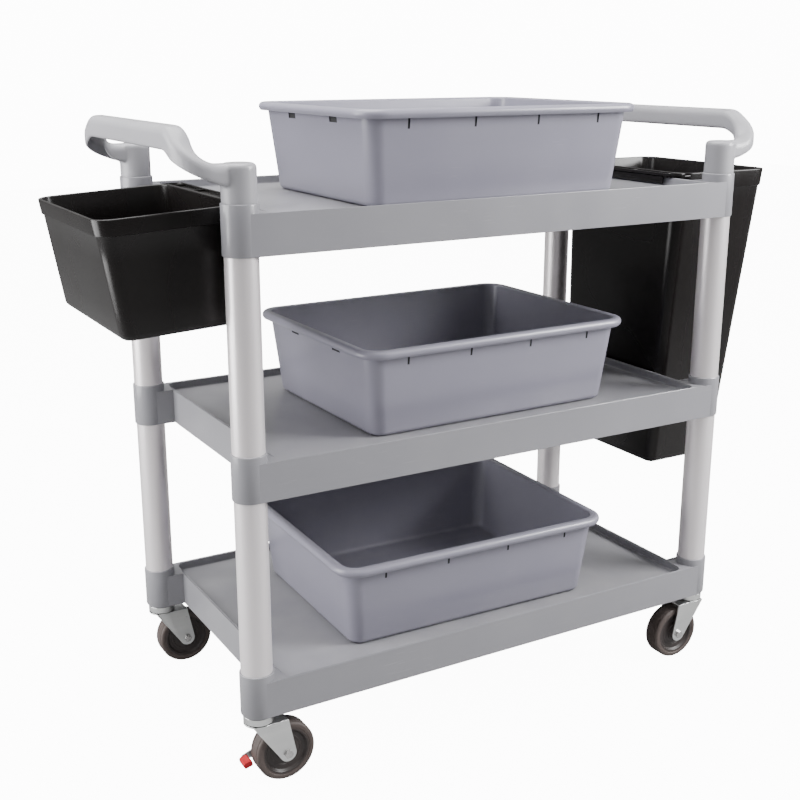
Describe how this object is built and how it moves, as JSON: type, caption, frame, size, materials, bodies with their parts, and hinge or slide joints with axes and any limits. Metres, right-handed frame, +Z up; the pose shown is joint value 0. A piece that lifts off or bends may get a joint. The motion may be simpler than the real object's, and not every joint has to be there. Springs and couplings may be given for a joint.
{
  "type": "food service trolley",
  "caption": "Three-shelf service trolley on swivel casters with tube legs, end handles, loose tubs and hook-on side bins.",
  "frame": {"origin": "on the floor, below the centre of the shelves", "axes": "+X along the trolley towards the tall bin, +Y across it towards the back, +Z up"},
  "size_m": [1.2881, 0.5098, 1.0398],
  "materials": {
    "shelf_plastic": "satin",
    "leg_aluminium": "satin",
    "handle_plastic": "satin",
    "socket_plastic": "satin",
    "caster_zinc": "bright zinc",
    "ball_steel": "polished",
    "bolt_steel": "zinc",
    "tread_rubber": "matte",
    "hub_plastic": "satin",
    "brake_red": "gloss",
    "tub_plastic": "satin",
    "bin_plastic": "gloss"
  },
  "bodies": {
    "frame": {"bottom_shelf": "shelf_plastic", "middle_shelf": "shelf_plastic", "top_shelf": "shelf_plastic", "lower_leg_fl": "leg_aluminium", "lower_leg_bl": "leg_aluminium", "lower_leg_fr": "leg_aluminium", "lower_leg_br": "leg_aluminium", "upper_leg_fl": "leg_aluminium", "upper_leg_bl": "leg_aluminium", "upper_leg_fr": "leg_aluminium", "upper_leg_br": "leg_aluminium", "left_handle": "handle_plastic", "right_handle": "handle_plastic", "caster_socket_fl": "socket_plastic", "caster_socket_bl": "socket_plastic", "caster_socket_fr": "socket_plastic", "caster_socket_br": "socket_plastic", "caster_stem_fl": "caster_zinc", "caster_stem_bl": "caster_zinc", "caster_stem_fr": "caster_zinc", "caster_stem_br": "caster_zinc", "swivel_balls_fl": "ball_steel", "swivel_balls_bl": "ball_steel", "swivel_balls_fr": "ball_steel", "swivel_balls_br": "ball_steel"},
    "swivel_fl": {"caster_fork_fl": "caster_zinc", "axle_bolt_fl": "bolt_steel"},
    "wheel_fl": {"wheel_tread_fl": "tread_rubber", "wheel_hub_fl": "hub_plastic"},
    "swivel_bl": {"caster_fork_bl": "caster_zinc", "axle_bolt_bl": "bolt_steel"},
    "wheel_bl": {"wheel_tread_bl": "tread_rubber", "wheel_hub_bl": "hub_plastic"},
    "swivel_fr": {"caster_fork_fr": "caster_zinc", "axle_bolt_fr": "bolt_steel"},
    "wheel_fr": {"wheel_tread_fr": "tread_rubber", "wheel_hub_fr": "hub_plastic"},
    "swivel_br": {"caster_fork_br": "caster_zinc", "axle_bolt_br": "bolt_steel"},
    "wheel_br": {"wheel_tread_br": "tread_rubber", "wheel_hub_br": "hub_plastic"},
    "brake_fl": {"brake_lever_fl": "caster_zinc", "brake_cap_fl": "brake_red"},
    "brake_br": {"brake_lever_br": "caster_zinc", "brake_cap_br": "brake_red"},
    "bottom_tub": {"bottom_tub": "tub_plastic"},
    "middle_tub": {"middle_tub": "tub_plastic"},
    "top_tub": {"top_tub": "tub_plastic"},
    "left_bin": {"left_bin": "bin_plastic"},
    "right_bin": {"right_bin": "bin_plastic"}
  },
  "joints": [
    {"name": "swivel_fl_turn", "type": "hinge", "parent": "frame", "child": "swivel_fl", "pos_m": [-0.45, -0.2275, 0.1], "axis": [0, 0, 1], "continuous": true},
    {"name": "wheel_fl_spin", "type": "hinge", "parent": "swivel_fl", "child": "wheel_fl", "pos_m": [-0.41, -0.2275, 0.05], "axis": [0, 1, 0], "continuous": true},
    {"name": "swivel_bl_turn", "type": "hinge", "parent": "frame", "child": "swivel_bl", "pos_m": [-0.45, 0.2275, 0.1], "axis": [0, 0, 1], "continuous": true},
    {"name": "wheel_bl_spin", "type": "hinge", "parent": "swivel_bl", "child": "wheel_bl", "pos_m": [-0.41, 0.2275, 0.05], "axis": [0, 1, 0], "continuous": true},
    {"name": "swivel_fr_turn", "type": "hinge", "parent": "frame", "child": "swivel_fr", "pos_m": [0.45, -0.2275, 0.1], "axis": [0, 0, 1], "continuous": true},
    {"name": "wheel_fr_spin", "type": "hinge", "parent": "swivel_fr", "child": "wheel_fr", "pos_m": [0.41, -0.2275, 0.05], "axis": [0, 1, 0], "continuous": true},
    {"name": "swivel_br_turn", "type": "hinge", "parent": "frame", "child": "swivel_br", "pos_m": [0.45, 0.2275, 0.1], "axis": [0, 0, 1], "continuous": true},
    {"name": "wheel_br_spin", "type": "hinge", "parent": "swivel_br", "child": "wheel_br", "pos_m": [0.41, 0.2275, 0.05], "axis": [0, 1, 0], "continuous": true},
    {"name": "brake_fl_press", "type": "hinge", "parent": "swivel_fl", "child": "brake_fl", "pos_m": [-0.41, -0.2275, 0.05], "axis": [0, 1, 0], "range_deg": [-12, 25]},
    {"name": "brake_br_press", "type": "hinge", "parent": "swivel_br", "child": "brake_br", "pos_m": [0.41, 0.2275, 0.05], "axis": [0, 1, 0], "range_deg": [-25, 12]},
    {"name": "bottom_tub_lift", "type": "slide", "parent": "frame", "child": "bottom_tub", "axis": [0, 0, 1], "range_m": [0, 0.14]},
    {"name": "middle_tub_lift", "type": "slide", "parent": "frame", "child": "middle_tub", "axis": [0, 0, 1], "range_m": [0, 0.15]},
    {"name": "top_tub_lift", "type": "slide", "parent": "frame", "child": "top_tub", "axis": [0, 0, 1], "range_m": [0, 0.3]},
    {"name": "left_bin_lift", "type": "slide", "parent": "frame", "child": "left_bin", "axis": [0, 0, 1], "range_m": [0, 0.06]},
    {"name": "right_bin_lift", "type": "slide", "parent": "frame", "child": "right_bin", "axis": [0, 0, 1], "range_m": [0, 0.06]}
  ]
}
